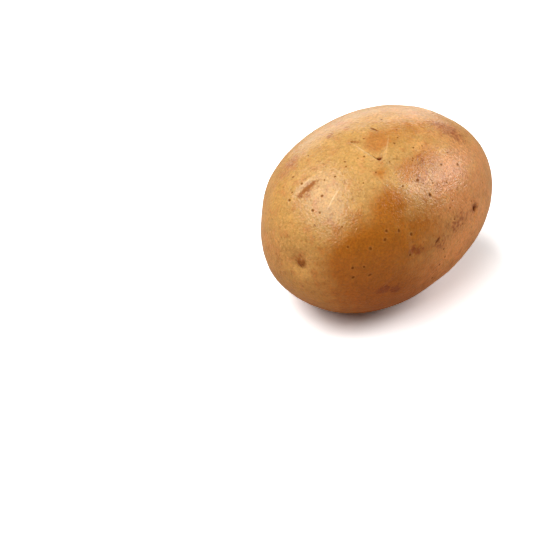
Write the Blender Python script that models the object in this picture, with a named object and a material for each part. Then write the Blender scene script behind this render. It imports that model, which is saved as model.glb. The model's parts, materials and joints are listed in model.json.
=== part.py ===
"""One whole washed potato, lying on its side as it was set down.

A potato is a swollen stem, grown in one piece, so the model is one closed solid. +X runs along its
length, from the heel, where it hung on its runner, to the rose end, where its eyes crowd together.
+Z is up, and the origin is under the middle of its box, on the surface that it rests on.

The skin is a sphere of directions that three steps turn into the tuber: the full oval body, its
broad swells and hollows, and then the relief of its eyes. The underside ends in a small flat.
"""

import math
from collections import namedtuple

import bmesh
import bpy
import numpy as np
from mathutils import Vector

MM = 0.001

# The oval body
LENGTH = 87 * MM
WIDTH = 62 * MM
HEIGHT = 58 * MM
FULLNESS = 2.15  # 2 is an ellipsoid, and more gives blunter ends and fuller sides
TAPER = 0.015  # how much slimmer the rose end is than the middle, and the heel fatter
SIDE_BEND = -2.6 * MM  # how far both ends lie to one side of the middle
RISE = 0.5 * MM  # how far both ends lie above the middle
FLAT_DEPTH = 0.7 * MM  # what the small flat takes off the underside

# A place on the skin is a share of the way along (-1 heel, 1 rose end) and an angle round the
# length in degrees (0 is +Y, 90 is up, 180 is -Y).
Swell = namedtuple("Swell", "along around spread height")
SWELLS = (
    Swell(-0.80, 62, 26, 0.9 * MM),  # the heel's upper shoulder
    Swell(-0.62, 118, 24, 0.5 * MM),  # the fuller cheek beside it
    Swell(-0.76, 8, 22, -0.9 * MM),  # the heel's flatter far side
    Swell(-0.30, 150, 20, -0.5 * MM),  # the shallow waist along the near side
    Swell(0.15, 148, 24, 0.6 * MM),  # the bulge past the waist
    Swell(-0.25, 105, 15, -0.5 * MM),  # the hollow under the topmost eye
    Swell(0.72, 40, 28, 0.8 * MM),  # the rose end's top corner
    Swell(0.52, -22, 26, -1.2 * MM),  # the hollow along the far side
    Swell(-0.30, -38, 26, 0.9 * MM),  # the far side's belly
    Swell(0.10, 20, 22, -0.6 * MM),
    Swell(0.85, 205, 24, 0.6 * MM),
)

# An eye is a shallow dish above a crescent brow, the scar of a scale leaf, with a pit where the
# bud sits. Turn is the way that the crescent opens: 0 is towards the rose end, 90 is leftwards
# of it, as seen from outside. Lift is the slope of the brow's two arms, and reach is how far the
# dish runs from the brow, as a share of the half width. Pit is 1 for a bud that sits deep.
Eye = namedtuple("Eye", "along around half_width depth turn lift reach pit", defaults=(0.45, 0.75, 1.0))
EYES = (
    Eye(-0.27, 108, 5.6 * MM, 0.95 * MM, 59, lift=1.66, reach=1.3),  # the topmost, a steep V
    Eye(-0.72, 82, 4.0 * MM, 0.55 * MM, -122, lift=0.15, reach=0.5, pit=0.2),  # an old crease
    Eye(0.28, 169, 3.4 * MM, 0.80 * MM, 190),
    Eye(-0.42, 170, 3.8 * MM, 0.40 * MM, 20, pit=0.5),
    Eye(-0.60, 193, 4.4 * MM, 0.40 * MM, -10, pit=0.5),
    Eye(0.20, 28, 6.0 * MM, 1.35 * MM, 8),
    Eye(-0.38, -18, 6.2 * MM, 1.40 * MM, -6),
    Eye(0.58, -48, 5.2 * MM, 1.25 * MM, 10),
    Eye(0.62, 96, 5.0 * MM, 1.15 * MM, 5),
    Eye(0.82, 205, 4.2 * MM, 1.10 * MM, -8),
    Eye(0.90, 20, 3.8 * MM, 1.20 * MM, 0),
    Eye(0.985, 110, 3.0 * MM, 1.00 * MM, 0),
)
BROW_SINK = 0.30  # brow below the eye's middle, as a share of the half width
BROW_SOFT = 1.0 * MM  # roundness where the arms meet
BROW_HEIGHT = 0.35  # share of the eye's depth
BROW_OUTER = 1.9 * MM  # how far the brow runs out to the skin around it
BROW_INNER = 0.8 * MM  # how far it falls to the dish
BROW_EDGE = 0.28 * MM  # how softly the dish starts
DISH_WIDTH = 0.85  # share of the half width
DISH_DEPTH = 0.55  # share of the eye's depth
PIT_HEIGHT, PIT_WIDTH = 1.0 * MM, 1.4 * MM  # from its middle out, along the way it opens and across
PIT_DEPTH = 0.60  # share of the eye's depth
EYE_EXTENT = 3  # half widths out from its middle, past which an eye does nothing

# The heel's scar, where the runner broke off: a small dimple with a raised middle
HEEL = (-0.995, 140)
HEEL_RADIUS = 3.6 * MM
HEEL_DEPTH = 1.1 * MM
HEEL_STUB_RADIUS = 1.3 * MM
HEEL_STUB_HEIGHT = 0.7 * MM

SPHERE_LEVELS = 5
EYE_SPLITS = (6.6 * MM, 3.8 * MM)  # how near an eye's middle each split of the faces reaches
FLAT_SPLIT = 12.5 * MM  # the same round the middle of the underside
RIM_SNAP = 0.03 * MM
FRAME_STEP = 0.01  # how far apart, on the unit sphere, a place's frame is measured
SHARPEST_SMOOTH = 35  # degrees between two faces that are still shaded as one

SKIN_COLOUR = "#C8935A"
SKIN_ROUGHNESS = 0.42


def linear(hex_colour):
    """An sRGB hex colour as the linear RGBA that a shader takes."""
    shares = [int(hex_colour[i : i + 2], 16) / 255 for i in (1, 3, 5)]
    return [s / 12.92 if s <= 0.04045 else ((s + 0.055) / 1.055) ** 2.4 for s in shares] + [1]


def direction(along, around):
    """The unit vector from the middle of the tuber to a place on its skin."""
    ring = math.sqrt(max(0.0, 1 - along * along))
    angle = math.radians(around)
    return np.array([along, ring * math.cos(angle), ring * math.sin(angle)])


def body(directions):
    """Points of the smooth tuber: a full oval, tapered and bent, with its broad swells."""
    reach = (np.abs(directions) ** FULLNESS).sum(axis=1) ** (-1 / FULLNESS)
    oval = directions * reach[:, None]
    along = oval[:, 0]
    points = oval * np.array([LENGTH, WIDTH, HEIGHT]) / 2
    points[:, 1:] *= (1 - TAPER * along)[:, None]
    points[:, 1] += SIDE_BEND * along**2
    points[:, 2] += RISE * along**2
    for swell in SWELLS:
        near = np.clip(directions @ direction(swell.along, swell.around), -1, 1)
        share = np.exp(-((np.degrees(np.arccos(near)) / swell.spread) ** 2))
        points += directions * (swell.height * share)[:, None]
    return points


def frame_at(place, turn=0.0):
    """A place's point on the body, and its outward, opening and sideways directions."""
    at = direction(*place)
    side = np.cross(at, [1.0, 0.0, 0.0])
    side /= np.linalg.norm(side)
    ahead = np.cross(side, at)
    steps = FRAME_STEP * np.array([0 * at, ahead, -ahead, side, -side])
    spots = at + steps
    spots /= np.linalg.norm(spots, axis=1)[:, None]
    point, a, b, c, d = body(spots)
    forward = (a - b) / np.linalg.norm(a - b)
    outward = np.cross(c - d, a - b)
    outward /= np.linalg.norm(outward)
    outward *= math.copysign(1, outward @ at)
    sideways = np.cross(outward, forward)
    angle = math.radians(turn)
    opening = forward * math.cos(angle) + sideways * math.sin(angle)
    return point, outward, opening, np.cross(outward, opening)


def eye_relief(points, eye):
    """How far one eye pushes each point of the skin out or in."""
    middle, _, opening, sideways = frame_at((eye.along, eye.around), eye.turn)
    offset = points - middle
    wide = eye.half_width
    near = np.linalg.norm(offset, axis=1) < EYE_EXTENT * wide
    across, up = offset @ sideways, offset @ opening
    curve = np.hypot(across, BROW_SOFT)
    height = up + BROW_SINK * wide - eye.lift * (curve - BROW_SOFT)
    past_brow = height / np.hypot(1, eye.lift * across / curve)
    fade = np.exp(-np.abs(across / wide) ** 3)
    width = np.where(past_brow < 0, BROW_OUTER, BROW_INNER)
    brow = np.exp(-((past_brow / width) ** 2)) * fade
    inside = 1 / (1 + np.exp(-past_brow / BROW_EDGE))
    spread = (across / (DISH_WIDTH * wide)) ** 2 + (height / (eye.reach * wide)) ** 2
    dish = np.exp(-spread) * inside
    pit = np.exp(-((across / PIT_WIDTH) ** 2) - (height / PIT_HEIGHT - 1) ** 2)
    return near * eye.depth * (BROW_HEIGHT * brow - DISH_DEPTH * dish - PIT_DEPTH * eye.pit * pit)


def dish_middle(eye):
    """The point on the body in the middle of an eye's dish."""
    point, _, opening, _ = frame_at((eye.along, eye.around), eye.turn)
    return point + opening * (eye.reach * eye.half_width / 2)


def heel_relief(points):
    """The dimple at the heel, and the stub of the runner standing in it."""
    middle = frame_at(HEEL)[0]
    away = np.linalg.norm(points - middle, axis=1)
    dimple = HEEL_DEPTH * np.exp(-((away / HEEL_RADIUS) ** 2))
    stub = HEEL_STUB_HEIGHT * np.exp(-((away / HEEL_STUB_RADIUS) ** 4))
    return stub - dimple


def skin(directions):
    """Points of the finished skin, before the flat is cut."""
    points = body(directions)
    outward = directions / np.array([LENGTH, WIDTH, HEIGHT])
    outward /= np.linalg.norm(outward, axis=1)[:, None]
    push = heel_relief(points)
    for eye in EYES:
        push += eye_relief(points, eye)
    return points + outward * push[:, None]


def coordinates(mesh):
    return np.array([v.co[:] for v in mesh.verts])


def split_near(mesh, middles, reach):
    """Splits the faces of the unit sphere that come out within reach of any of the middles."""
    mesh.verts.ensure_lookup_table()
    mesh.verts.index_update()
    points = body(coordinates(mesh))
    near = np.zeros(len(points), bool)
    for middle in middles:
        near |= np.linalg.norm(points - middle, axis=1) < reach
    edges = [e for e in mesh.edges if near[e.verts[0].index] or near[e.verts[1].index]]
    bmesh.ops.subdivide_edges(mesh, edges=edges, cuts=1, use_grid_fill=True)
    bmesh.ops.triangulate(mesh, faces=mesh.faces[:])
    for vertex in mesh.verts:
        vertex.co.normalize()


def cut_flat(mesh):
    """Takes the small flat off the underside and closes it with one level face."""
    level = min(v.co.z for v in mesh.verts) + FLAT_DEPTH
    everything = mesh.verts[:] + mesh.edges[:] + mesh.faces[:]
    cut = bmesh.ops.bisect_plane(
        mesh,
        geom=everything,
        dist=RIM_SNAP,
        plane_co=Vector((0, 0, level)),
        plane_no=Vector((0, 0, -1)),
        clear_outer=True,
    )
    rim = [e for e in cut["geom_cut"] if isinstance(e, bmesh.types.BMEdge)]
    for vertex in {v for edge in rim for v in edge.verts}:
        vertex.co.z = level
    bmesh.ops.contextual_create(mesh, geom=rim)
    bmesh.ops.recalc_face_normals(mesh, faces=mesh.faces[:])


def stand_on_origin(mesh):
    """Moves the origin to the middle of the underside."""
    points = coordinates(mesh)
    low, high = points.min(axis=0), points.max(axis=0)
    shift = Vector((-(low[0] + high[0]) / 2, -(low[1] + high[1]) / 2, -low[2]))
    bmesh.ops.translate(mesh, verts=mesh.verts[:], vec=shift)


def skin_material():
    """Thin washed periderm, golden tan, with a waxy sheen."""
    material = bpy.data.materials.new("potato_skin")
    material.use_nodes = True
    shader = material.node_tree.nodes["Principled BSDF"]
    shader.inputs["Base Color"].default_value = linear(SKIN_COLOUR)
    shader.inputs["Roughness"].default_value = SKIN_ROUGHNESS
    shader.inputs["Metallic"].default_value = 0.0
    material.diffuse_color = linear(SKIN_COLOUR)
    return material


def build_potato():
    mesh = bmesh.new()
    bmesh.ops.create_icosphere(mesh, subdivisions=SPHERE_LEVELS, radius=1.0)
    for vertex in mesh.verts:
        vertex.co.normalize()
    middles = [dish_middle(eye) for eye in EYES] + [frame_at(HEEL)[0]]
    for reach in EYE_SPLITS:
        split_near(mesh, middles, reach)
    split_near(mesh, [body(direction(0, -90)[None])[0]], FLAT_SPLIT)
    for vertex, point in zip(mesh.verts, skin(coordinates(mesh))):
        vertex.co = Vector(point)
    cut_flat(mesh)
    stand_on_origin(mesh)
    data = bpy.data.meshes.new("potato")
    mesh.to_mesh(data)
    mesh.free()
    data.shade_smooth()
    data.set_sharp_from_angle(angle=math.radians(SHARPEST_SMOOTH))
    data.materials.append(skin_material())
    potato = bpy.data.objects.new("potato", data)
    bpy.context.collection.objects.link(potato)
    return potato


for leftover in list(bpy.data.objects):
    bpy.data.objects.remove(leftover)
build_potato()
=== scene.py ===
# %% [markdown]
# # A washed potato
# A potato is a swollen underground stem. It grew in one piece, so this scene has one piece too: a
# skin with the tuber's whole outside on it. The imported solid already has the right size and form,
# with its swells, its eyes and its heel scar, but its faces are nearly two millimetres across. Here
# the same form is made again with faces under a millimetre, which leaves room for pores, scratches
# and slow waves in the skin. Then it gets the colours of a washed yellow-fleshed potato.

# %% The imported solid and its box
import json
import math
from collections import namedtuple

import bmesh
import bpy
import numpy as np
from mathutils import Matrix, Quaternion, Vector, kdtree

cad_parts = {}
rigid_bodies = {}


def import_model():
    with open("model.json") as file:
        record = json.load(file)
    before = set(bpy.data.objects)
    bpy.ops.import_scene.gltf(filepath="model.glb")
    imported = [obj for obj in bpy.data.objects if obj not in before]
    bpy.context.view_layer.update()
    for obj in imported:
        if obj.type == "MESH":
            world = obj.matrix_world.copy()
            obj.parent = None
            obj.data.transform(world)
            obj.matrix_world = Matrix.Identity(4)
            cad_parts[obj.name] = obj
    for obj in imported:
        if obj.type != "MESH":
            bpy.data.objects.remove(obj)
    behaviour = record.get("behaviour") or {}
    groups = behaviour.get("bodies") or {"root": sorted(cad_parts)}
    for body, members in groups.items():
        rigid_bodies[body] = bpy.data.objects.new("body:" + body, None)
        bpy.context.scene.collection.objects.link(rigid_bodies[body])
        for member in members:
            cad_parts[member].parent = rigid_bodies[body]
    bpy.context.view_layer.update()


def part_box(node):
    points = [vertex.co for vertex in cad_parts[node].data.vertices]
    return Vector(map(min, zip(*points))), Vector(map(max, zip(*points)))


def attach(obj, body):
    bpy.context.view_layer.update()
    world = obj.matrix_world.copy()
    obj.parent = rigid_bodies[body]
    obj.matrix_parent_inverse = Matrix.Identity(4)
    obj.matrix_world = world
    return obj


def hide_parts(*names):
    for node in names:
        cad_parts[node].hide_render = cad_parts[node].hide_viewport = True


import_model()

MM = 0.001
low, high = (np.array(corner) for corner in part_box("potato"))
print("packed solid, mm:", np.round((high - low) / MM, 1))

# %% [markdown]
# ## Camera
# The picture looks down on the potato from about 34 degrees above level, past its heel, with a long
# lens. The camera stands 41 degrees off the potato's length, so it sees the near side, the heel's
# shoulder and the top. The potato sits right of the middle of the frame and a little above it, so the
# camera aims left of it and below. The lens is a 100 mm one on a 36 mm sensor, which keeps the near
# end from looking swollen.

# %% Camera
AZIMUTH, ELEVATION = math.radians(-49.2), math.radians(34)
DISTANCE = 478.6 * MM
AIM_HEIGHT = 29 * MM
AIM_LEFT, AIM_DOWN = 33.4 * MM, 20.9 * MM
LENS, SENSOR = 100, 36  # in mm, as cameras state them
NEAREST, FARTHEST = 0.01, 20  # what lies outside these distances isn't drawn

back = Vector((
    math.sin(AZIMUTH) * math.cos(ELEVATION),
    -math.cos(AZIMUTH) * math.cos(ELEVATION),
    math.sin(ELEVATION),
))
right = Vector((math.cos(AZIMUTH), math.sin(AZIMUTH), 0))
up = back.cross(right)
aim = Vector((0, 0, AIM_HEIGHT)) - right * AIM_LEFT - up * AIM_DOWN

lens = bpy.data.cameras.new("camera")
lens.lens, lens.sensor_width = LENS, SENSOR
lens.clip_start, lens.clip_end = NEAREST, FARTHEST
camera = bpy.data.objects.new("camera", lens)
camera.location = aim + back * DISTANCE
camera.rotation_mode = "QUATERNION"
camera.rotation_quaternion = (-back).to_track_quat("-Z", "Y")
bpy.context.collection.objects.link(camera)
bpy.context.scene.camera = camera
print("camera at", tuple(round(c, 3) for c in camera.location))

# %% [markdown]
# ## Colours and nodes
# Colours are written as sRGB hex, the way a paint chart gives them, and a shader works in linear
# light, so one function turns them. One more adds a shader node with its settings and its links.

# %% Colours and nodes
def linear(hex_colour):
    """An sRGB hex colour as the linear RGBA that a shader takes."""
    shares = [int(hex_colour[i : i + 2], 16) / 255 for i in (1, 3, 5)]
    return [s / 12.92 if s <= 0.04045 else ((s + 0.055) / 1.055) ** 2.4 for s in shares] + [1]


def add_node(tree, kind, inputs=None, output=0, **settings):
    """Adds a node with its settings and links, and returns one of the outputs that it shows.

    Inputs go by the name or the number that the node shows. Each is a value, or the output of
    another node that feeds it."""
    node = tree.nodes.new(kind)
    for name, value in settings.items():
        setattr(node, name, value)
    shown = [socket for socket in node.inputs if socket.enabled]
    for key, value in (inputs or {}).items():
        socket = shown[key] if isinstance(key, int) else next(s for s in shown if s.name == key)
        if isinstance(value, bpy.types.NodeSocket):
            tree.links.new(value, socket)
        else:
            socket.default_value = value
    given = [socket for socket in node.outputs if socket.enabled]
    return given[output] if isinstance(output, int) else next(s for s in given if s.name == output)


PURE_WHITE = linear("#FFFFFF")
print("pure white in linear light:", PURE_WHITE)

# %% [markdown]
# ## Card and light
# The potato lies on white card under plain soft light. The light could come from one big dome, but
# then the gloss would lie all over the skin. Separate softboxes put each gloss in its own place. A
# large one high on the left makes the broad gloss on the heel's shoulder. An upright one at the
# right makes the second, grainy gloss. A low wide panel behind draws the pale rim along the top,
# and a weak one overhead lifts the card. No lamp stands on the camera's side, which keeps the near
# side deep in colour.
#
# Pictures like this are brightened afterwards, until the card is pure white and only the heart of
# the shadow is left. So the card has two strengths: what it throws back at the potato is a soft
# warm tan, and what the camera sees is brighter than any real card. Far from the potato the card
# melts into the white room, so no view shows its edge.

# %% White card
CARD_SIZE = 6.0  # in metres
CARD_THROWS, CARD_SEEN = "#B8977A", 1.48
FADE_START, FADE_END = 0.35, 0.80  # how far from the potato it melts into the room

sheet = bmesh.new()
bmesh.ops.create_grid(sheet, x_segments=1, y_segments=1, size=CARD_SIZE / 2)
card = bpy.data.meshes.new("white_card")
sheet.to_mesh(card)
sheet.free()
paper = bpy.data.materials.new("white_card")
paper.use_nodes = True
tree = paper.node_tree
camera_looks = add_node(tree, "ShaderNodeLightPath", output="Is Camera Ray")
seen = [CARD_SEEN] * 3 + [1]
strengths = {"Factor": camera_looks, "A": linear(CARD_THROWS), "B": seen}
whiteness = add_node(tree, "ShaderNodeMix", strengths, data_type="RGBA")
matt_white = add_node(tree, "ShaderNodeBsdfDiffuse", {"Color": whiteness})
spot = add_node(tree, "ShaderNodeTexCoord", output="Object")
away = add_node(tree, "ShaderNodeVectorMath", {0: spot}, operation="LENGTH")
limits = {"Value": away, "From Min": FADE_START, "From Max": FADE_END}
far = add_node(tree, "ShaderNodeMapRange", limits, interpolation_type="SMOOTHSTEP")
faded = add_node(tree, "ShaderNodeMath", {0: far, 1: camera_looks}, operation="MULTIPLY")
far_white = add_node(tree, "ShaderNodeEmission", {"Color": PURE_WHITE})
surface = add_node(tree, "ShaderNodeMixShader", {0: faded, 1: matt_white, 2: far_white})
tree.links.new(surface, tree.nodes["Material Output"].inputs["Surface"])
card.materials.append(paper)
floor = bpy.data.objects.new("white_card", card)
bpy.context.collection.objects.link(floor)
print("card:", CARD_SIZE, "m wide, white to the camera from", FADE_END, "m out")

# %% Softboxes
Softbox = namedtuple("Softbox", "name turn elevation roll distance width height watts")
SOFTBOXES = (  # turn is round from the camera. Angles are in degrees and sizes in metres
    Softbox("key_softbox", 294, 60, -13, 0.90, 1.38, 0.76, 15.2),
    Softbox("side_softbox", 103, 31, 0, 0.90, 0.42, 0.56, 4.8),
    Softbox("back_panel", 183, 7, 0, 1.10, 0.90, 0.30, 2.45),
    Softbox("overhead_softbox", 180, 88, 0, 0.90, 0.60, 0.60, 0.5),
)
middle = Vector((0, 0, AIM_HEIGHT))
for box in SOFTBOXES:
    turn, lift = AZIMUTH + math.radians(box.turn), math.radians(box.elevation)
    towards = Vector((
        math.sin(turn) * math.cos(lift),
        -math.cos(turn) * math.cos(lift),
        math.sin(lift),
    ))
    lamp = bpy.data.lights.new(box.name, "AREA")
    lamp.shape = "RECTANGLE"
    lamp.size, lamp.size_y = box.width, box.height
    lamp.energy = box.watts
    stand = bpy.data.objects.new(box.name, lamp)
    stand.location = middle + towards * box.distance
    stand.rotation_mode = "QUATERNION"
    rolled = Quaternion((0, 0, 1), math.radians(box.roll))
    stand.rotation_quaternion = (-towards).to_track_quat("-Z", "Y") @ rolled
    stand.visible_camera = False
    bpy.context.collection.objects.link(stand)
    print(box.name, "at", tuple(round(c, 2) for c in stand.location))

# %% Room
ROOM_GLOWS, ROOM_SEEN = 0.03, 1.0
room = bpy.data.worlds.new("room")
room.use_nodes = True
tree = room.node_tree
air = tree.nodes["Background"]
air.inputs["Color"].default_value = PURE_WHITE
camera_looks = add_node(tree, "ShaderNodeLightPath", output="Is Camera Ray")
brightness = {"Value": camera_looks, "To Min": ROOM_GLOWS, "To Max": ROOM_SEEN}
tree.links.new(add_node(tree, "ShaderNodeMapRange", brightness), air.inputs["Strength"])
bpy.context.scene.world = room
bpy.context.scene.view_settings.view_transform = "Standard"
print("room: glows", ROOM_GLOWS, "on the potato and looks", ROOM_SEEN, "to the camera")

# %% [markdown]
# ## The form
# A place on the skin is a share of the way along (-1 is the heel, 1 the rose end) and an angle
# round the length in degrees (0 is +Y, 90 is up, 180 is the near side). Each place is a direction
# from the middle. It could be sculpted by hand, but a formula gives the same potato each time. The
# same steps as in the solid turn a direction into a point: a full oval, its taper and bend, its
# broad swells and hollows, and then the relief of the eyes and the heel.

# %% The oval body
LENGTH, WIDTH, HEIGHT = 87 * MM, 62 * MM, 58 * MM
FULLNESS = 2.15  # 2 is an ellipsoid, and more gives blunter ends
TAPER = 0.015  # share by which the heel is thicker and the rose end slimmer
SIDE_BEND, RISE = -2.6 * MM, 0.5 * MM  # how far both ends lean along Y and Z

Swell = namedtuple("Swell", "along around spread height")  # spread is in degrees
SWELLS = (
    Swell(-0.80, 62, 26, 0.9 * MM),
    Swell(-0.62, 118, 24, 0.5 * MM),
    Swell(-0.76, 8, 22, -0.9 * MM),
    Swell(-0.30, 150, 20, -0.5 * MM),
    Swell(0.15, 148, 24, 0.6 * MM),
    Swell(-0.25, 105, 15, -0.5 * MM),
    Swell(0.72, 40, 28, 0.8 * MM),
    Swell(0.52, -22, 26, -1.2 * MM),
    Swell(-0.30, -38, 26, 0.9 * MM),
    Swell(0.10, 20, 22, -0.6 * MM),
    Swell(0.85, 205, 24, 0.6 * MM),
)


def direction(along, around):
    """The unit vector from the middle of the tuber to a place on its skin."""
    ring = math.sqrt(max(0.0, 1 - along * along))
    angle = math.radians(around)
    return np.array([along, ring * math.cos(angle), ring * math.sin(angle)])


def body(directions):
    """Points of the smooth tuber: a full oval, tapered and bent, with its broad swells."""
    reach = (np.abs(directions) ** FULLNESS).sum(axis=1) ** (-1 / FULLNESS)
    oval = directions * reach[:, None]
    along = oval[:, 0]
    points = oval * np.array([LENGTH, WIDTH, HEIGHT]) / 2
    points[:, 1:] *= (1 - TAPER * along)[:, None]
    points[:, 1] += SIDE_BEND * along**2
    points[:, 2] += RISE * along**2
    for swell in SWELLS:
        near = np.clip(directions @ direction(swell.along, swell.around), -1, 1)
        share = np.exp(-((np.degrees(np.arccos(near)) / swell.spread) ** 2))
        points += directions * (swell.height * share)[:, None]
    return points


print("body:", len(SWELLS), "swells and hollows on an oval", LENGTH / MM, "mm long")

# %% [markdown]
# ## Eyes and heel
# An eye is a dormant bud in a shallow dish. The ridge on its heel side is called its brow, and is
# the scar of a scale leaf. The heel is where the runner broke off, and keeps a small dimple with a
# stub in it. Each eye could be its own cut in the surface, but a soft push on the same skin leaves
# no seam. The topmost eye is a steep V, whose dish is a smooth facet between its two arms, and the
# one on the heel's shoulder has closed to a crease.

# %% Places of the eyes
# Turn is in degrees from the way to the rose end. Lift is how steeply the brow's arms run forward,
# reach is the dish's length in half widths, and pit is how much of a pit there is.
Eye = namedtuple("Eye", "along around half_width depth turn lift reach pit", defaults=(0.45, 0.75, 1.0))
EYES = (
    Eye(-0.27, 108, 5.6 * MM, 0.95 * MM, 59, lift=1.66, reach=1.3),
    Eye(-0.72, 82, 4.0 * MM, 0.55 * MM, -122, lift=0.15, reach=0.5, pit=0.2),
    Eye(0.28, 169, 3.4 * MM, 0.80 * MM, 190),
    Eye(-0.42, 170, 3.8 * MM, 0.40 * MM, 20, pit=0.5),
    Eye(-0.60, 193, 4.4 * MM, 0.40 * MM, -10, pit=0.5),
    Eye(0.20, 28, 6.0 * MM, 1.35 * MM, 8),
    Eye(-0.38, -18, 6.2 * MM, 1.40 * MM, -6),
    Eye(0.58, -48, 5.2 * MM, 1.25 * MM, 10),
    Eye(0.62, 96, 5.0 * MM, 1.15 * MM, 5),
    Eye(0.82, 205, 4.2 * MM, 1.10 * MM, -8),
    Eye(0.90, 20, 3.8 * MM, 1.20 * MM, 0),
    Eye(0.985, 110, 3.0 * MM, 1.00 * MM, 0),
)
print("eyes:", len(EYES), "up to", round(max(eye.depth for eye in EYES) / MM, 1), "mm deep")

# %% A frame on the skin
FRAME_STEP = 0.01  # radians either side of a place, for its slope


def frame_at(place, turn=0.0):
    """A place's point on the body, and its outward, opening and sideways directions."""
    at = direction(*place)
    side = np.cross(at, [1.0, 0.0, 0.0])
    side /= np.linalg.norm(side)
    ahead = np.cross(side, at)
    steps = FRAME_STEP * np.array([0 * at, ahead, -ahead, side, -side])
    spots = at + steps
    spots /= np.linalg.norm(spots, axis=1)[:, None]
    point, a, b, c, d = body(spots)
    forward = (a - b) / np.linalg.norm(a - b)
    outward = np.cross(c - d, a - b)
    outward /= np.linalg.norm(outward)
    outward *= math.copysign(1, outward @ at)
    sideways = np.cross(outward, forward)
    angle = math.radians(turn)
    opening = forward * math.cos(angle) + sideways * math.sin(angle)
    return point, outward, opening, np.cross(outward, opening)


print("topmost eye looks along", np.round(frame_at((EYES[0].along, EYES[0].around))[1], 2))

# %% The relief of an eye
# The brow's height and the depths of dish and pit are shares of the eye's depth. The brow's sink and
# the dish's width are shares of its half width.
BROW_SINK, BROW_SOFT, BROW_EDGE = 0.30, 1.0 * MM, 0.28 * MM
BROW_HEIGHT, BROW_OUTER, BROW_INNER = 0.35, 1.9 * MM, 0.8 * MM
DISH_WIDTH, DISH_DEPTH = 0.85, 0.55
PIT_HEIGHT, PIT_WIDTH, PIT_DEPTH = 1.0 * MM, 1.4 * MM, 0.60
EYE_EXTENT = 3  # half widths out from its middle, past which an eye does nothing


def eye_parts(points, eye):
    """Shares of one eye's brow, dish and pit at each point."""
    middle, _, opening, sideways = frame_at((eye.along, eye.around), eye.turn)
    offset = points - middle
    wide = eye.half_width
    near = np.linalg.norm(offset, axis=1) < EYE_EXTENT * wide
    across, up = offset @ sideways, offset @ opening
    curve = np.hypot(across, BROW_SOFT)
    height = up + BROW_SINK * wide - eye.lift * (curve - BROW_SOFT)
    past_brow = height / np.hypot(1, eye.lift * across / curve)
    fade = np.exp(-np.abs(across / wide) ** 3)
    width = np.where(past_brow < 0, BROW_OUTER, BROW_INNER)
    brow = np.exp(-((past_brow / width) ** 2)) * fade
    inside = 1 / (1 + np.exp(-past_brow / BROW_EDGE))
    spread = (across / (DISH_WIDTH * wide)) ** 2 + (height / (eye.reach * wide)) ** 2
    dish = np.exp(-spread) * inside
    pit = eye.pit * np.exp(-((across / PIT_WIDTH) ** 2) - (height / PIT_HEIGHT - 1) ** 2)
    return near * brow, near * dish, near * pit


def eye_relief(points, eye):
    """How far one eye pushes each point of the skin out or in."""
    brow, dish, pit = eye_parts(points, eye)
    return eye.depth * (BROW_HEIGHT * brow - DISH_DEPTH * dish - PIT_DEPTH * pit)


def dish_middle(eye):
    """The point on the body in the middle of an eye's dish."""
    point, _, opening, _ = frame_at((eye.along, eye.around), eye.turn)
    return point + opening * (eye.reach * eye.half_width / 2)


print("topmost eye's dish is round", np.round(dish_middle(EYES[0]) / MM, 1), "mm")

# %% The relief of the heel
HEEL = (-0.995, 140)  # along and around
HEEL_RADIUS, HEEL_DEPTH = 3.6 * MM, 1.1 * MM
HEEL_STUB_RADIUS, HEEL_STUB_HEIGHT = 1.3 * MM, 0.7 * MM


def heel_relief(points):
    """The dimple at the heel, and the stub of the runner standing in it."""
    away = np.linalg.norm(points - frame_at(HEEL)[0], axis=1)
    dimple = HEEL_DEPTH * np.exp(-((away / HEEL_RADIUS) ** 2))
    stub = HEEL_STUB_HEIGHT * np.exp(-((away / HEEL_STUB_RADIUS) ** 4))
    return stub - dimple


print("heel is round", np.round(frame_at(HEEL)[0] / MM, 1), "mm")

# %% [markdown]
# ## Pores and lines
# Pores (lenticels) let the tuber breathe. Each is a dark sunken dot about 0.6 to 1 mm across, in a
# faint corky ring. Those that the picture shows are listed by radius, and the rest of the skin gets
# its own by a seeded draw that keeps them apart. They could be dots in the finish alone, but a real
# hollow catches the light. The lines are a healed scratch, the arms of the topmost eye, the crease
# on the heel's shoulder with its lip, and a few nicks. The pale colour along the arms and the lip is
# a painted highlight.

# %% Pores seen in the picture
PORES_SEEN = {
    0.47 * MM: [
        (-0.70, 156), (-0.73, 179), (-0.60, 154), (-0.49, 153), (-0.57, 149), (-0.41, 159),
        (-0.15, 144), (-0.81, 71), (-0.27, 88), (-0.18, 133),
    ],
    0.38 * MM: [
        (-0.76, 170), (-0.82, 169), (-0.82, 180), (-0.81, 147), (-0.09, 188), (-0.14, 192),
        (-0.12, 181), (-0.17, 202), (-0.45, 172), (0.11, 86), (-0.19, 92), (-0.46, 96),
        (-0.08, 107), (0.00, 116), (-0.31, 131), (-0.82, 99), (-0.81, 106), (-0.73, 99),
        (0.23, 138), (0.04, 143), (0.09, 133), (-0.67, 67), (-0.71, 78),
    ],
    0.28 * MM: [
        (-0.49, 99), (-0.34, 102), (-0.38, 100), (0.06, 100), (-0.01, 105), (-0.08, 121),
        (-0.10, 122), (0.07, 118), (-0.39, 115), (-0.51, 115), (0.36, 107), (-0.25, 115),
        (-0.50, 70), (-0.77, 72), (-0.64, 93), (-0.59, 98), (-0.87, 109), (-0.78, 129),
        (-0.08, 139), (0.03, 154), (-0.02, 157), (0.00, 165), (0.10, 172), (0.45, 158),
        (0.23, 162), (0.22, 129),
    ],
}
Pore = namedtuple("Pore", "middle outward long_way length radius dark")
PORE_SEED = 11
LONGEST_PORE = 1.35  # length over width
SEEN_DARKNESS = (0.65, 1)


def pore_at(place, radius, dark, draw):
    """A pore at a place, a little longer one way than the other."""
    point, outward, opening, _ = frame_at(place, draw.uniform(0, 180))
    return Pore(point, outward, opening, draw.uniform(1, LONGEST_PORE), radius, dark)


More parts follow.
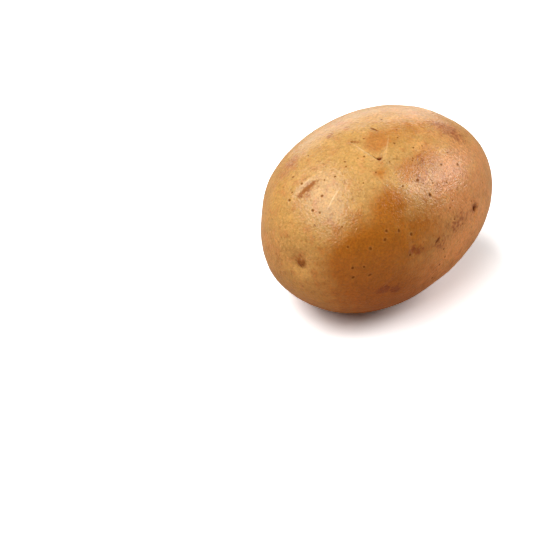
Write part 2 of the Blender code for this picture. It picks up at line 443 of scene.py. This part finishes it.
draw = np.random.default_rng(PORE_SEED)
seen = [
    pore_at(place, radius, draw.uniform(*SEEN_DARKNESS), draw)
    for radius, places in PORES_SEEN.items()
    for place in places
]
print(len(seen), "pores are seen in the picture")

# %% Pores drawn elsewhere
DRAWN_PORES = 420
PORE_GAP = 2.2 * MM
SMALL_PORE, LARGE_PORE = 0.22 * MM, 0.50 * MM
DRAWN_DARKNESS, FAINT_PORE = (0.4, 1), 0.35
FACING = 0.1  # a place with more of its outward direction towards the camera is in the picture


def drawn_pores(taken, count, draw):
    """More pores anywhere, apart from each other. What the picture shows gets only faint ones."""
    found = list(taken)
    while len(found) < len(taken) + count:
        place = draw.uniform(-1, 1), draw.uniform(0, 360)
        radius, dark = draw.uniform(SMALL_PORE, LARGE_PORE), draw.uniform(*DRAWN_DARKNESS)
        pore = pore_at(place, radius, dark, draw)
        if min(np.linalg.norm(pore.middle - other.middle) for other in found) < PORE_GAP:
            continue
        if pore.outward @ np.array(back) > FACING:
            pore = pore._replace(radius=SMALL_PORE, dark=FAINT_PORE)
        found.append(pore)
    return found


PORES = drawn_pores(seen, DRAWN_PORES, draw)
print(len(PORES), "pores in all")

# %% Places of the lines
# Height is how far a line rises, and amount is how strong its mark is.
Line = namedtuple("Line", "mark start end half_width height amount")
LINES = (
    # The pale marks: the one on the heel's shoulder is a healed scratch, and those along the crease's lip
    # and the topmost eye's arms are painted highlights.
    Line("healed_and_painted_highlight", (-0.63, 106), (-0.78, 110), 0.30 * MM, 0.05 * MM, 0.9),  # on the heel's shoulder
    Line("healed_and_painted_highlight", (-0.73, 78), (-0.66, 83), 0.40 * MM, 0.04 * MM, 0.6),  # lip of the crease
    Line("crease", (-0.79, 78), (-0.66, 88), 0.75 * MM, -0.05 * MM, 1.0),
    Line("crease", (-0.80, 84), (-0.67, 89), 1.60 * MM, 0.0, 0.5),
    Line("healed_and_painted_highlight", (-0.28, 88), (-0.30, 108), 0.34 * MM, 0.04 * MM, 0.8),  # topmost eye's arms
    Line("healed_and_painted_highlight", (-0.03, 100), (-0.22, 110), 0.30 * MM, 0.03 * MM, 0.5),
    Line("nick", (-0.05, 88), (-0.05, 93), 0.50 * MM, -0.04 * MM, 1.0),
    Line("nick", (-0.25, 87), (-0.27, 90), 0.30 * MM, -0.02 * MM, 0.4),
    Line("nick", (-0.21, 173), (-0.17, 171), 0.50 * MM, -0.12 * MM, 1.0),
    Line("nick", (-0.22, 114), (-0.17, 117), 0.30 * MM, -0.04 * MM, 0.5),
)


def line_points(line, step=0.5 * MM):
    """Points on the body along the line, about step apart."""
    ends = np.array([direction(*line.start), direction(*line.end)])
    start, end = body(ends)
    count = max(3, int(np.linalg.norm(start - end) / step) + 1)
    shares = np.linspace(0, 1, count)[:, None]
    spots = ends[0] * (1 - shares) + ends[1] * shares
    return body(spots / np.linalg.norm(spots, axis=1)[:, None])


def line_share(points, line):
    """How strongly a line marks each point: 1 on it, less to its sides and its ends."""
    trail = line_points(line)
    share = np.zeros(len(points))
    for i, (start, end) in enumerate(zip(trail[:-1], trail[1:])):
        run = end - start
        along = np.clip((points - start) @ run / (run @ run), 0, 1)
        away = np.linalg.norm(points - start - along[:, None] * run, axis=1)
        fade = np.sin(math.pi * (i + along + 0.5) / len(trail)) ** 0.5
        share = np.maximum(share, fade * np.exp(-((away / line.half_width) ** 2)))
    return share


print(len(LINES), "lines:", ", ".join(sorted({line.mark for line in LINES})))

# %% [markdown]
# ## A fine sphere
# The skin starts as a sphere of directions with even triangles. A sphere of rings and columns would
# crowd its faces at two poles. Mapped on the body the even ones come out about 0.7 mm across, which
# is enough for the broad form. Where the relief is finer, round eyes, pores and lines, the faces are
# split once or twice more before the mapping.

# %% A fine sphere
SPHERE_LEVELS = 7
SPLITS = (  # reach round an eye's middle and a line's points, and round a pore in its radii
    (6.0 * MM, 1.2 * MM, 2.2),
    (2.2 * MM, 0.6 * MM, 1.3),
)


def coordinates(mesh):
    """Where the mesh's points are, one row each."""
    return np.array([v.co[:] for v in mesh.verts])


def finder(points):
    """Finds the points within a reach of any place quickly."""
    nearby = kdtree.KDTree(len(points))
    for i, point in enumerate(points):
        nearby.insert(Vector(point), i)
    nearby.balance()
    return nearby


def split_near(mesh, middles, reaches):
    """Splits the sphere's faces that come out within a middle's own reach of it."""
    mesh.verts.index_update()
    points = body(coordinates(mesh))
    nearby = finder(points)
    near = set()
    for point, reach in zip(middles, reaches):
        near.update(index for _, index, _ in nearby.find_range(Vector(point), reach))
    edges = [e for e in mesh.edges if e.verts[0].index in near or e.verts[1].index in near]
    bmesh.ops.subdivide_edges(mesh, edges=edges, cuts=1, use_grid_fill=True)
    uneven = [face for face in mesh.faces if len(face.verts) > 3]
    bmesh.ops.triangulate(mesh, faces=uneven)
    for vertex in mesh.verts:
        vertex.co.normalize()


sphere = bmesh.new()
bmesh.ops.create_icosphere(sphere, subdivisions=SPHERE_LEVELS, radius=1.0)
eye_middles = [dish_middle(eye) for eye in EYES] + [frame_at(HEEL)[0]]
line_middles = [point for line in LINES for point in line_points(line)]
pore_middles = [pore.middle for pore in PORES]
for eye_reach, line_reach, pore_reach in SPLITS:
    reaches = [eye_reach] * len(eye_middles) + [line_reach] * len(line_middles)
    reaches += [pore_reach * pore.radius for pore in PORES]
    split_near(sphere, eye_middles + line_middles + pore_middles, reaches)
directions = coordinates(sphere)
print("skin:", len(sphere.faces), "triangles")

# %% [markdown]
# ## Fine relief
# Real skin is never as smooth as a formula. Slow waves about 14 mm long bend the gloss, and others
# about 5 mm long ripple it. They are sums of plane waves in seeded directions, so they have no
# grid. The pores sink and raise their rings, and the lines rise or sink. Each of these is about a
# fifth of a millimetre at most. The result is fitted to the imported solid's box at the end.

# %% Slow waves
Waves = namedtuple("Waves", "length height count seed")
WAVES = (Waves(14 * MM, 0.060 * MM, 60, 3), Waves(5 * MM, 0.018 * MM, 80, 4))
PITCH_SPREAD = (0.7, 1.4)


def waves(points, length, count, seed):
    """A smooth random field with waves about that long. Its usual size is 1."""
    draw = np.random.default_rng(seed)
    aims = draw.normal(size=(count, 3))
    aims /= np.linalg.norm(aims, axis=1)[:, None]
    pitches = 2 * math.pi / length * draw.uniform(*PITCH_SPREAD, count)
    phases = draw.uniform(0, 2 * math.pi, count)
    return np.sin(points @ (aims * pitches[:, None]).T + phases).sum(axis=1) / math.sqrt(count / 2)


points = body(directions)
print("waves:", [round(size.length / MM) for size in WAVES], "mm long")

# %% Heel, eyes and waves pushed into the skin
DEEP_EYE = 1.4 * MM  # an eye this deep has its full colour
HEEL_CORK = 2.6 * MM  # how far from the heel its brown cork reaches

outward = directions / np.array([LENGTH, WIDTH, HEIGHT])
outward /= np.linalg.norm(outward, axis=1)[:, None]
push = heel_relief(points)
heel_cork = np.exp(-((np.linalg.norm(points - frame_at(HEEL)[0], axis=1) / HEEL_CORK) ** 2))
# The brows get a painted highlight, stronger on deeper eyes.
brow_highlights, pit_shades = np.zeros(len(points)), np.zeros(len(points))
for eye in EYES:
    push += eye_relief(points, eye)
    brow, _, pit = eye_parts(points, eye)
    brow_highlights += brow * (eye.depth / DEEP_EYE)
    # The pits get the buds' brown deepened as painted shade, stronger in deeper eyes.
    pit_shades += pit * (eye.depth / DEEP_EYE)
for size in WAVES:
    push += size.height * waves(points, size.length, size.count, size.seed)
print("pushed in by", round(-push.min() / MM, 2), "mm and out by", round(push.max() / MM, 2), "mm at most")

# %% Pores sunk into the skin
PORE_CONE = 2.6  # how many radii out a pore's mark fades to nothing
PALER_PORE = 0.5  # how much of its mark the faintest pore would lose
PORE_SINK, RING_HEIGHT = 0.28, 0.05  # in radii of the pore
RING_RADIUS, RING_WIDTH = 1.5, 0.45  # in radii too

nearby = finder(points)
pores = np.zeros(len(points))
for pore in PORES:
    found = nearby.find_range(Vector(pore.middle), PORE_CONE * pore.length * pore.radius)
    index = np.array([i for _, i, _ in found], int)
    offset = points[index] - pore.middle
    long_way = offset @ pore.long_way
    away = np.sqrt((offset**2).sum(axis=1) - long_way**2 * (1 - pore.length**-2)) / pore.radius
    ring = np.exp(-(((away - RING_RADIUS) / RING_WIDTH) ** 2))
    push[index] += pore.radius * pore.dark * (RING_HEIGHT * ring - PORE_SINK * np.exp(-(away**2)))
    mark = (1 - away / PORE_CONE) * (1 - PALER_PORE * (1 - pore.dark))
    pores[index] = np.maximum(pores[index], mark)
print("pores mark", int((pores > 0).sum()), "points of", len(points))

# %% Lines, the flat and the fit to the box
FLAT_DEPTH = 0.7 * MM

line_marks = {line.mark: np.zeros(len(points)) for line in LINES}
for line in LINES:
    share = line_share(points, line)
    push += line.height * share
    line_marks[line.mark] += line.amount * share
points = points + outward * push[:, None]
points[:, 2] = np.maximum(points[:, 2], points[:, 2].min() + FLAT_DEPTH)
own_low, own_high = points.min(axis=0), points.max(axis=0)
points = low + (points - own_low) * (high - low) / (own_high - own_low)
print("fitted to the box by", np.round((high - low) / (own_high - own_low), 4))

# %% [markdown]
# ## Patches
# The skin isn't one colour. Where the corky layer is thin, the yellow flesh warms it to straw gold,
# and the smoothest places are amber. Where it is thicker it turns tan or apricot, rubbed places are
# rose, and old scurf is russet. Some patches are painted light instead. Amber low on the near side
# towards the heel is painted shade. Apricot there is painted fill light that makes it paler. The
# darker brown on and beside the topmost eye's facet is painted shade. A painted picture could hold
# all this, but it would fix how fine the skin can get. Broad fields with soft edges say where each
# colour is strong instead. They are kept as numbers on the skin's points, and noise in the finish
# breaks their edges up.

# %% Patches
Patch = namedtuple("Patch", "along around spread amount")  # spread is in degrees
PATCHES = {
    "tan": (
        Patch(0.40, 150, 32, 1.0), Patch(0.06, 148, 18, 0.5), Patch(0.42, 112, 20, 0.1),
        Patch(0.00, 200, 30, 0.8), Patch(0.33, 90, 22, 0.4), Patch(-0.70, 84, 12, 0.1),
        Patch(-0.2, -60, 34, 0.8), Patch(0.55, -10, 26, 0.7), Patch(-0.9, 0, 20, 0.5),
    ),
    # Apricot: thicker cork on the far side, and on the lower near side a paler colour that is painted fill
    # light.
    "apricot_and_painted_fill": (
        Patch(0.32, 178, 18, 0.6), Patch(-0.12, 196, 18, 0.8), Patch(0.10, 216, 26, 0.8),
        Patch(-0.40, 218, 20, 0.8), Patch(-0.1, -60, 20, 0.5), Patch(0.6, -130, 20, 0.5),
    ),
    # Amber: the spots in the middle are the skin's own, and those low on the near side and towards the
    # heel are painted shade.
    "amber_and_painted_shade": (
        Patch(-0.45, 134, 8, 1.2), Patch(-0.36, 117, 4, 0.8), Patch(-0.13, 104, 9, 0.2),
        Patch(-0.62, 150, 16, 0.7), Patch(-0.81, 158, 16, 0.9), Patch(-0.74, 192, 24, 0.9),
        Patch(-0.30, 160, 16, 0.7), Patch(-0.40, 212, 30, 0.8), Patch(0.10, 102, 13, 0.6),
        Patch(0.1, -30, 20, 0.6), Patch(-0.5, -90, 24, 0.6), Patch(0.7, -120, 20, 0.6),
    ),
    # Darker brown on the topmost eye's facet and on places near it: painted shade.
    "facet_shade": (
        Patch(-0.19, 101, 6, 0.8), Patch(-0.11, 96, 6.5, 0.8), Patch(0.05, 122, 6, 0.5),
        Patch(0.06, 130, 6, 0.5), Patch(0.20, 116, 6, 0.4), Patch(-0.16, 126, 9, 1.0),
    ),
    "rose": (
        Patch(-0.57, 58, 8, 0.8), Patch(-0.10, 70, 7, 0.7), Patch(-0.72, 82, 6, 0.2),
        Patch(0.46, 172, 16, 0.35), Patch(-0.70, 48, 8, 0.5), Patch(0.20, 140, 12, 0.35),
        Patch(0.46, 114, 11, 0.9), Patch(0.10, 195, 14, 0.1),
        Patch(-0.17, 140, 8, 0.3), Patch(0.30, 28, 12, 0.7), Patch(-0.30, -70, 14, 0.7),
        Patch(0.70, -50, 14, 0.6), Patch(-0.98, 140, 9, 0.4),
    ),
    "russet": (
        Patch(0.40, 108, 8, 0.5), Patch(0.47, 123, 8, 0.6), Patch(-0.04, 125, 7, 0.45),
        Patch(0.04, 168, 8, 0.6), Patch(-0.17, 176, 6, 0.5), Patch(-0.36, 172, 3, 0.7),
        Patch(-0.43, 170, 3, 0.7), Patch(-0.63, 196, 3, 0.8), Patch(-0.52, 198, 3, 0.8),
        Patch(-0.58, 197, 6, 0.4), Patch(0.27, 168, 4, 0.8), Patch(-0.16, 135, 5, 0.5),
        Patch(-0.26, 90, 3, 0.55), Patch(-0.26, 72, 3, 0.7), Patch(-0.54, 58, 7, 0.4),
        Patch(0.20, 28, 9, 0.6), Patch(-0.38, -18, 10, 0.6), Patch(0.58, -48, 9, 0.6),
        Patch(0.62, 96, 8, 0.5), Patch(0.82, 205, 9, 0.6), Patch(0.90, 20, 12, 0.6),
        Patch(0.985, 110, 16, 0.7), Patch(-0.995, 140, 3, 0.9), Patch(-0.1, -80, 14, 0.4),
        Patch(0.3, -110, 12, 0.4), Patch(-0.6, -60, 12, 0.4),
    ),
}


def patches(directions, listed):
    """The sum of the listed patches at each direction."""
    field = np.zeros(len(directions))
    for patch in listed:
        near = np.clip(directions @ direction(patch.along, patch.around), -1, 1)
        field += patch.amount * np.exp(-((np.degrees(np.arccos(near)) / patch.spread) ** 2))
    return field


print("patches:", {name: len(listed) for name, listed in PATCHES.items()})

# %% The skin as a mesh
# The brows' mark is a painted highlight, and the pits' mark is the buds' brown with painted shade.
marks = {"pore": pores, "heel": heel_cork, "painted_brow_highlight": brow_highlights, "bud_and_painted_pit_shade": pit_shades}
marks.update(line_marks)
marks.update({name: patches(directions, listed) for name, listed in PATCHES.items()})
for vertex, point in zip(sphere.verts, points):
    vertex.co = Vector(point)
bmesh.ops.recalc_face_normals(sphere, faces=sphere.faces[:])
skin = bpy.data.meshes.new("potato_skin")
sphere.to_mesh(skin)
sphere.free()
skin.shade_smooth()
for name, shares in marks.items():
    skin.attributes.new(name, "FLOAT", "POINT").data.foreach_set("value", shares)
potato = bpy.data.objects.new("potato_skin", skin)
bpy.context.collection.objects.link(potato)
print("marks on the skin:", ", ".join(marks))

# %% [markdown]
# ## The skin's colour
# The skin is suberised periderm: a thin layer of cork cells that grew in the soil, washed and dried.
# To the eye it is straw gold with soft stains. Not all of them are the skin's own. The pale brows,
# the pale arms of the topmost eye and the lip of the crease are painted highlights. The dark pits
# hold the buds' brown, deepened by painted shade. The amber stain is painted shade low on the near
# side, the apricot one is painted fill light there, and the facet one is painted shade. Each stain
# is one layer over the one before. Its share comes from its mark on the skin plus some noise of a
# real grain size, cut off softly between two limits, so that a strong mark is solid and a weak one
# breaks up into flecks. Four layers of freckles need no mark, because cork is never even: thin
# spots show more of the yellow flesh, lifted flakes look reddish, dry flecks are pale, and grains
# of soil left brown dots. Torn and sunken places are matt, so their stains take the sheen away too.
# At last two sizes of lumps make the whole a little lighter and darker. The finest real grain is a
# tenth of a millimetre, too small to show, so it is drawn half a millimetre to a millimetre coarse.

# %% Washed periderm and its stains
periderm = bpy.data.materials.new("washed_periderm")
periderm.use_nodes = True
tree = periderm.node_tree
shader = tree.nodes["Principled BSDF"]
place = add_node(tree, "ShaderNodeTexCoord", output="Object")

STRAW_GOLD = "#C19250"
# A stain grows from nothing, where its mark plus ragged times its noise is at start, to its full
# strength at end.
Stain = namedtuple("Stain", "mark colour grain ragged start end strength matt", defaults=(False,))
STAINS = (
    Stain("tan", "#D49056", 4.0 * MM, 0.9, 0.50, 1.60, 1.0),
    # Apricot: thicker cork, and on the lower near side painted fill light that makes it paler.
    Stain("apricot_and_painted_fill", "#EEA564", 3.0 * MM, 0.8, 0.50, 1.60, 1.0),
    Stain("rose", "#B8784E", 2.2 * MM, 1.2, 0.90, 1.60, 0.8),
    Stain("", "#D2A05A", 4.5 * MM, 1.0, 0.50, 0.66, 0.35),  # thin cork
    Stain("", "#B87642", 3.0 * MM, 1.0, 0.52, 0.68, 0.45),  # lifted flakes
    Stain("", "#DCAA70", 1.2 * MM, 1.0, 0.54, 0.72, 0.35),  # pale flecks
    Stain("", "#8E5220", 1.4 * MM, 1.0, 0.56, 0.72, 0.45),  # grains of soil
    # Amber: the skin's own deep gold in the middle, and painted shade low on the near side towards the
    # heel.
    Stain("amber_and_painted_shade", "#AB6415", 3.0 * MM, 0.8, 0.45, 1.60, 0.95),
    # Darker brown on and beside the topmost eye's facet: painted shade.
    Stain("facet_shade", "#B06C2E", 2.0 * MM, 0.6, 0.50, 1.20, 0.7),
    Stain("russet", "#883E14", 1.0 * MM, 1.6, 1.05, 1.65, 0.75),
    Stain("crease", "#8E501E", 0.8 * MM, 1.8, 0.90, 1.85, 0.85, matt=True),
    Stain("heel", "#8A5426", 1.0 * MM, 0.8, 0.70, 1.30, 0.8, matt=True),
    # Pale on the brows: a painted highlight.
    Stain("painted_brow_highlight", "#E0B27C", 1.0 * MM, 0.8, 0.60, 1.60, 0.4),
    # Pale: a healed scratch, and painted highlights along the crease's lip and the topmost eye's arms.
    Stain("healed_and_painted_highlight", "#E6C08C", 0.8 * MM, 0.6, 0.40, 1.20, 0.6),
    # Dark in the eye pits: the bud's brown, deepened as painted shade.
    Stain("bud_and_painted_pit_shade", "#622804", 0.8 * MM, 0.4, 0.28, 0.80, 0.95, matt=True),
    Stain("nick", "#6E3812", 0.8 * MM, 0.6, 0.40, 1.00, 0.85, matt=True),
    Stain("pore", "#D8A468", 0.6 * MM, 0.3, 0.35, 0.65, 0.12),
    Stain("pore", "#74400C", 0.5 * MM, 0.3, 0.54, 0.90, 0.90, matt=True),
)
print(len(STAINS), "stains over", STRAW_GOLD)

# %% Stains laid over each other
FULL_SHEEN, NO_SHEEN = 0.5, 0.05  # the full one is what the IOR alone gives
NOISE_DETAIL = 3.0  # how many finer noises each one holds

colour, sheen = linear(STRAW_GOLD), FULL_SHEEN
for stain in STAINS:
    mark = 0.0
    if stain.mark:
        mark = add_node(tree, "ShaderNodeAttribute", output="Fac", attribute_name=stain.mark)
    pattern = {"Vector": place, "Scale": 1 / stain.grain, "Detail": NOISE_DETAIL}
    grain = add_node(tree, "ShaderNodeTexNoise", pattern)
    parts = {0: grain, 1: stain.ragged, 2: mark}
    marked = add_node(tree, "ShaderNodeMath", parts, operation="MULTIPLY_ADD")
    limits = {"Value": marked, "From Min": stain.start, "From Max": stain.end}
    limits["To Max"] = stain.strength
    share = add_node(tree, "ShaderNodeMapRange", limits, interpolation_type="SMOOTHSTEP")
    layers = {"Factor": share, "A": colour, "B": linear(stain.colour)}
    colour = add_node(tree, "ShaderNodeMix", layers, data_type="RGBA")
    if stain.matt:
        layers = {"Factor": share, "A": sheen, "B": NO_SHEEN}
        sheen = add_node(tree, "ShaderNodeMix", layers, data_type="FLOAT")
print("stains that are matt too:", sum(stain.matt for stain in STAINS))

# %% Mottling
Mottling = namedtuple("Mottling", "size darkest palest")
MOTTLINGS = (Mottling(4.0 * MM, 0.94, 1.06), Mottling(0.75 * MM, 0.83, 1.15))
NOISE_LOW, NOISE_HIGH = 0.3, 0.7  # nearly all of a noise lies between these

for lumps in MOTTLINGS:
    pattern = {"Vector": place, "Scale": 1 / lumps.size, "Detail": NOISE_DETAIL}
    grain = add_node(tree, "ShaderNodeTexNoise", pattern)
    limits = {"Value": grain, "From Min": NOISE_LOW, "From Max": NOISE_HIGH}
    limits.update({"To Min": lumps.darkest, "To Max": lumps.palest})
    value = add_node(tree, "ShaderNodeMapRange", limits)
    colour = add_node(tree, "ShaderNodeHueSaturation", {"Value": value, "Color": colour})
tree.links.new(colour, shader.inputs["Base Color"])
print("mottled in lumps of", [round(lumps.size / MM, 2) for lumps in MOTTLINGS], "mm")

# %% [markdown]
# ## The skin's gloss
# Cork cells hold wax, so a washed skin has a soft sheen, which the eye takes for a thin moist film.
# Its IOR is about 1.45 and it is a dielectric, so it has no metallic share. The cells dry into a net
# of wrinkles about 0.6 to 1 mm wide. They are too fine for faces, so a bump draws them, and they
# break the gloss into grains. Thick cork is wrinkled most. A little light goes through the cork and
# comes out again beside where it went in, which softens small shadows.

# %% Sheen and wrinkles
SKIN_ROUGHNESS, SKIN_IOR = 0.29, 1.45
WRINKLES = ((0.6 * MM, 0.7), (1.0 * MM, 0.9))  # each a width and its share of the height
WRINKLE_HEIGHT = 0.34 * MM
THIN_CORK, THICK_CORK = 0.52, 0.68  # share of that height
LIGHT_WITHIN, LIGHT_REACH = 0.08, 2 * MM  # share that goes through the cork, and how far

corky = add_node(tree, "ShaderNodeAttribute", output="Fac", attribute_name="tan")
limits = {"Value": corky, "To Min": THIN_CORK, "To Max": THICK_CORK}
wrinkled = add_node(tree, "ShaderNodeMapRange", limits)
shader.inputs["Roughness"].default_value = SKIN_ROUGHNESS
shader.inputs["IOR"].default_value = SKIN_IOR
tree.links.new(sheen, shader.inputs["Specular IOR Level"])
shader.inputs["Subsurface Weight"].default_value = LIGHT_WITHIN
shader.inputs["Subsurface Scale"].default_value = LIGHT_REACH

height = 0.0
for size, share in WRINKLES:
    grain = add_node(tree, "ShaderNodeTexNoise", {"Vector": place, "Scale": 1 / size})
    parts = {0: grain, 1: share, 2: height}
    height = add_node(tree, "ShaderNodeMath", parts, operation="MULTIPLY_ADD")
relief = {"Height": height, "Strength": wrinkled, "Distance": WRINKLE_HEIGHT}
net = add_node(tree, "ShaderNodeBump", relief)
tree.links.new(net, shader.inputs["Normal"])
skin.materials.append(periderm)
print("finish:", periderm.name, "with", len(tree.nodes), "nodes")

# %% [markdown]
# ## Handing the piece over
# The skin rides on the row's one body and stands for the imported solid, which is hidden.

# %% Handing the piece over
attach(potato, "root")
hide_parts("potato")
